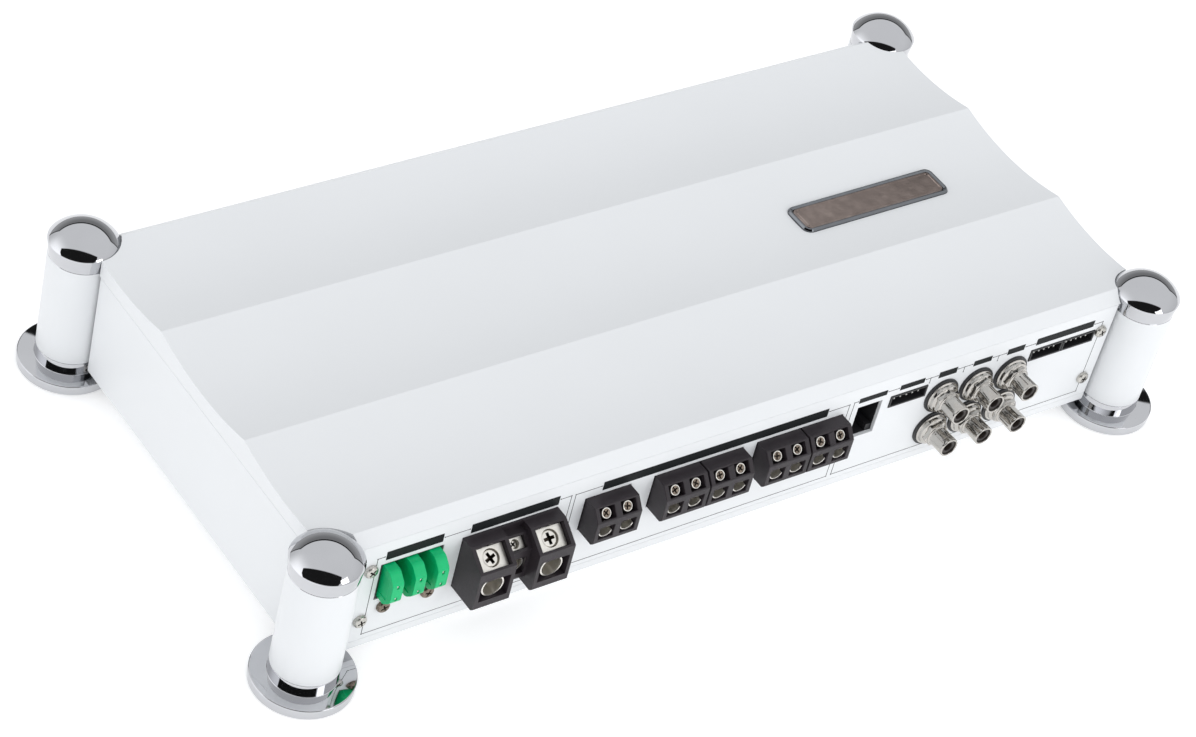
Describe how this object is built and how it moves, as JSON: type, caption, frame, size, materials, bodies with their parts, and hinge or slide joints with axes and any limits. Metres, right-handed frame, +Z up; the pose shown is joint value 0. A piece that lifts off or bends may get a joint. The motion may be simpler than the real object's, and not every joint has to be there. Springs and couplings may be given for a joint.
{
  "type": "car audio amplifier",
  "caption": "Low white car amplifier with a scooped ribbed heatsink top, a front panel of screw terminals, fuses and phono jacks, and round corner posts with domed plated caps.",
  "frame": {"origin": "middle of the four feet, on the surface that they stand on", "axes": "+Z up, +X along the length to the right seen from the front, +Y from the front panel to the back"},
  "size_m": [0.421, 0.2152, 0.0678],
  "materials": {
    "white_coat": "satin powder coat",
    "white_tube": "smooth semi-gloss coat",
    "mirror_chrome": "polished",
    "dark_chrome": "polished dark",
    "bronze_mirror": "tinted mirror",
    "nickel": "nickel plated",
    "zinc_screw": "nickel-plated steel",
    "extruded_aluminium": "mill finish",
    "black_plastic": "fine grain",
    "terminal_plastic": "fine grain",
    "green_plastic": "translucent gloss",
    "tin_plated": "tin plated",
    "gold_plated": "gold plated",
    "board_green": "solder mask",
    "copper_winding": "enamelled copper",
    "capacitor_sleeve": "shrink sleeve",
    "epoxy": "moulded epoxy",
    "dark_insulator": "moulded",
    "knob_plastic": "fine grain",
    "switch_plastic": "moulded"
  },
  "bodies": {
    "case": {"heatsink": "white_coat", "bottom_cover": "white_coat", "front_panel": "white_coat", "rear_panel": "white_coat", "end_plate_left": "white_coat", "end_plate_right": "white_coat", "corner_brackets": "extruded_aluminium", "post_bases": "mirror_chrome", "post_tubes": "white_tube", "badge_frame": "dark_chrome", "badge_plate": "bronze_mirror", "case_screws": "zinc_screw", "fuse_holder": "black_plastic", "fuse_clips": "tin_plated", "power_terminal_housing": "terminal_plastic", "power_terminal_contacts": "nickel", "speaker_terminal_housings": "terminal_plastic", "speaker_terminal_contacts": "nickel", "remote_socket": "black_plastic", "input_headers": "black_plastic", "signal_pins": "gold_plated", "jack_washers": "black_plastic", "jack_shells": "nickel", "jack_insulators": "dark_insulator", "jack_contacts": "gold_plated", "main_board": "board_green", "control_bodies": "epoxy", "power_transformer": "copper_winding", "output_inductors": "copper_winding", "supply_capacitors": "capacitor_sleeve", "power_transistors": "epoxy"},
    "cap_front_left": {"cap_front_left": "mirror_chrome"},
    "cap_front_right": {"cap_front_right": "mirror_chrome"},
    "cap_rear_left": {"cap_rear_left": "mirror_chrome"},
    "cap_rear_right": {"cap_rear_right": "mirror_chrome"},
    "fuse_left": {"fuse_left": "green_plastic"},
    "fuse_middle": {"fuse_middle": "green_plastic"},
    "fuse_right": {"fuse_right": "green_plastic"},
    "supply_pressure_pad": {"supply_pressure_pad": "nickel"},
    "supply_screw": {"supply_screw": "zinc_screw"},
    "remote_turn_on_pressure_pad": {"remote_turn_on_pressure_pad": "nickel"},
    "remote_turn_on_screw": {"remote_turn_on_screw": "zinc_screw"},
    "ground_pressure_pad": {"ground_pressure_pad": "nickel"},
    "ground_screw": {"ground_screw": "zinc_screw"},
    "speaker_screw_1": {"speaker_screw_1": "zinc_screw"},
    "speaker_screw_2": {"speaker_screw_2": "zinc_screw"},
    "speaker_screw_3": {"speaker_screw_3": "zinc_screw"},
    "speaker_screw_4": {"speaker_screw_4": "zinc_screw"},
    "speaker_screw_5": {"speaker_screw_5": "zinc_screw"},
    "speaker_screw_6": {"speaker_screw_6": "zinc_screw"},
    "speaker_screw_7": {"speaker_screw_7": "zinc_screw"},
    "speaker_screw_8": {"speaker_screw_8": "zinc_screw"},
    "speaker_screw_9": {"speaker_screw_9": "zinc_screw"},
    "speaker_screw_10": {"speaker_screw_10": "zinc_screw"},
    "front_level_knob": {"front_level_knob": "knob_plastic"},
    "rear_level_knob": {"rear_level_knob": "knob_plastic"},
    "sub_level_knob": {"sub_level_knob": "knob_plastic"},
    "sub_crossover_knob": {"sub_crossover_knob": "knob_plastic"},
    "filter_switch": {"filter_switch": "switch_plastic"},
    "input_mode_switch": {"input_mode_switch": "switch_plastic"}
  },
  "joints": [
    {"name": "cap_front_left_lift", "type": "slide", "parent": "case", "child": "cap_front_left", "axis": [0, 0, 1], "range_m": [0, 0.012]},
    {"name": "cap_front_right_lift", "type": "slide", "parent": "case", "child": "cap_front_right", "axis": [0, 0, 1], "range_m": [0, 0.012]},
    {"name": "cap_rear_left_lift", "type": "slide", "parent": "case", "child": "cap_rear_left", "axis": [0, 0, 1], "range_m": [0, 0.012]},
    {"name": "cap_rear_right_lift", "type": "slide", "parent": "case", "child": "cap_rear_right", "axis": [0, 0, 1], "range_m": [0, 0.012]},
    {"name": "fuse_left_pull", "type": "slide", "parent": "case", "child": "fuse_left", "axis": [0, -1, 0], "range_m": [0, 0.016]},
    {"name": "fuse_middle_pull", "type": "slide", "parent": "case", "child": "fuse_middle", "axis": [0, -1, 0], "range_m": [0, 0.016]},
    {"name": "fuse_right_pull", "type": "slide", "parent": "case", "child": "fuse_right", "axis": [0, -1, 0], "range_m": [0, 0.016]},
    {"name": "supply_clamp", "type": "slide", "parent": "case", "child": "supply_pressure_pad", "axis": [0, 0.5848, -0.8112], "range_m": [0, 0.0036]},
    {"name": "supply_screw_turn", "type": "hinge", "parent": "supply_pressure_pad", "child": "supply_screw", "pos_m": [-0.12505, -0.0978, 0.0445], "axis": [0, 0.5848, -0.8112], "range_deg": [0, 1620]},
    {"name": "remote_turn_on_clamp", "type": "slide", "parent": "case", "child": "remote_turn_on_pressure_pad", "axis": [0, 0.6432, -0.7657], "range_m": [0, 0.0018]},
    {"name": "remote_turn_on_screw_turn", "type": "hinge", "parent": "remote_turn_on_pressure_pad", "child": "remote_turn_on_screw", "pos_m": [-0.1124, -0.0942, 0.0427], "axis": [0, 0.6432, -0.7657], "range_deg": [0, 1296]},
    {"name": "ground_clamp", "type": "slide", "parent": "case", "child": "ground_pressure_pad", "axis": [0, 0.5848, -0.8112], "range_m": [0, 0.0036]},
    {"name": "ground_screw_turn", "type": "hinge", "parent": "ground_pressure_pad", "child": "ground_screw", "pos_m": [-0.09975, -0.0978, 0.0445], "axis": [0, 0.5848, -0.8112], "range_deg": [0, 1620]},
    {"name": "speaker_screw_1_turn", "type": "hinge", "parent": "case", "child": "speaker_screw_1", "pos_m": [-0.07425, -0.0956, 0.04455], "axis": [0, 0.7776, -0.6287], "range_deg": [0, 1080]},
    {"name": "speaker_screw_2_turn", "type": "hinge", "parent": "case", "child": "speaker_screw_2", "pos_m": [-0.06475, -0.0956, 0.04455], "axis": [0, 0.7776, -0.6287], "range_deg": [0, 1080]},
    {"name": "speaker_screw_3_turn", "type": "hinge", "parent": "case", "child": "speaker_screw_3", "pos_m": [-0.04335, -0.0956, 0.04455], "axis": [0, 0.7776, -0.6287], "range_deg": [0, 1080]},
    {"name": "speaker_screw_4_turn", "type": "hinge", "parent": "case", "child": "speaker_screw_4", "pos_m": [-0.03385, -0.0956, 0.04455], "axis": [0, 0.7776, -0.6287], "range_deg": [0, 1080]},
    {"name": "speaker_screw_5_turn", "type": "hinge", "parent": "case", "child": "speaker_screw_5", "pos_m": [-0.02275, -0.0956, 0.04455], "axis": [0, 0.7776, -0.6287], "range_deg": [0, 1080]},
    {"name": "speaker_screw_6_turn", "type": "hinge", "parent": "case", "child": "speaker_screw_6", "pos_m": [-0.01325, -0.0956, 0.04455], "axis": [0, 0.7776, -0.6287], "range_deg": [0, 1080]},
    {"name": "speaker_screw_7_turn", "type": "hinge", "parent": "case", "child": "speaker_screw_7", "pos_m": [0.00405, -0.0956, 0.04455], "axis": [0, 0.7776, -0.6287], "range_deg": [0, 1080]},
    {"name": "speaker_screw_8_turn", "type": "hinge", "parent": "case", "child": "speaker_screw_8", "pos_m": [0.01355, -0.0956, 0.04455], "axis": [0, 0.7776, -0.6287], "range_deg": [0, 1080]},
    {"name": "speaker_screw_9_turn", "type": "hinge", "parent": "case", "child": "speaker_screw_9", "pos_m": [0.02465, -0.0956, 0.04455], "axis": [0, 0.7776, -0.6287], "range_deg": [0, 1080]},
    {"name": "speaker_screw_10_turn", "type": "hinge", "parent": "case", "child": "speaker_screw_10", "pos_m": [0.03415, -0.0956, 0.04455], "axis": [0, 0.7776, -0.6287], "range_deg": [0, 1080]},
    {"name": "front_level_turn", "type": "hinge", "parent": "case", "child": "front_level_knob", "pos_m": [-0.12, 0.0881, 0.034], "axis": [0, 1, 0], "range_deg": [-150, 150]},
    {"name": "rear_level_turn", "type": "hinge", "parent": "case", "child": "rear_level_knob", "pos_m": [-0.08, 0.0881, 0.034], "axis": [0, 1, 0], "range_deg": [-150, 150]},
    {"name": "sub_level_turn", "type": "hinge", "parent": "case", "child": "sub_level_knob", "pos_m": [0.04, 0.0881, 0.034], "axis": [0, 1, 0], "range_deg": [-150, 150]},
    {"name": "sub_crossover_turn", "type": "hinge", "parent": "case", "child": "sub_crossover_knob", "pos_m": [0.08, 0.0881, 0.034], "axis": [0, 1, 0], "range_deg": [-150, 150]},
    {"name": "filter_slide", "type": "slide", "parent": "case", "child": "filter_switch", "axis": [1, 0, 0], "range_m": [0, 0.004]},
    {"name": "input_mode_slide", "type": "slide", "parent": "case", "child": "input_mode_switch", "axis": [1, 0, 0], "range_m": [0, 0.004]}
  ],
  "couplings": [
    {"joint": "supply_screw_turn", "follows": "supply_clamp", "rad_per_m": 7854},
    {"joint": "remote_turn_on_screw_turn", "follows": "remote_turn_on_clamp", "rad_per_m": 12566},
    {"joint": "ground_screw_turn", "follows": "ground_clamp", "rad_per_m": 7854}
  ]
}
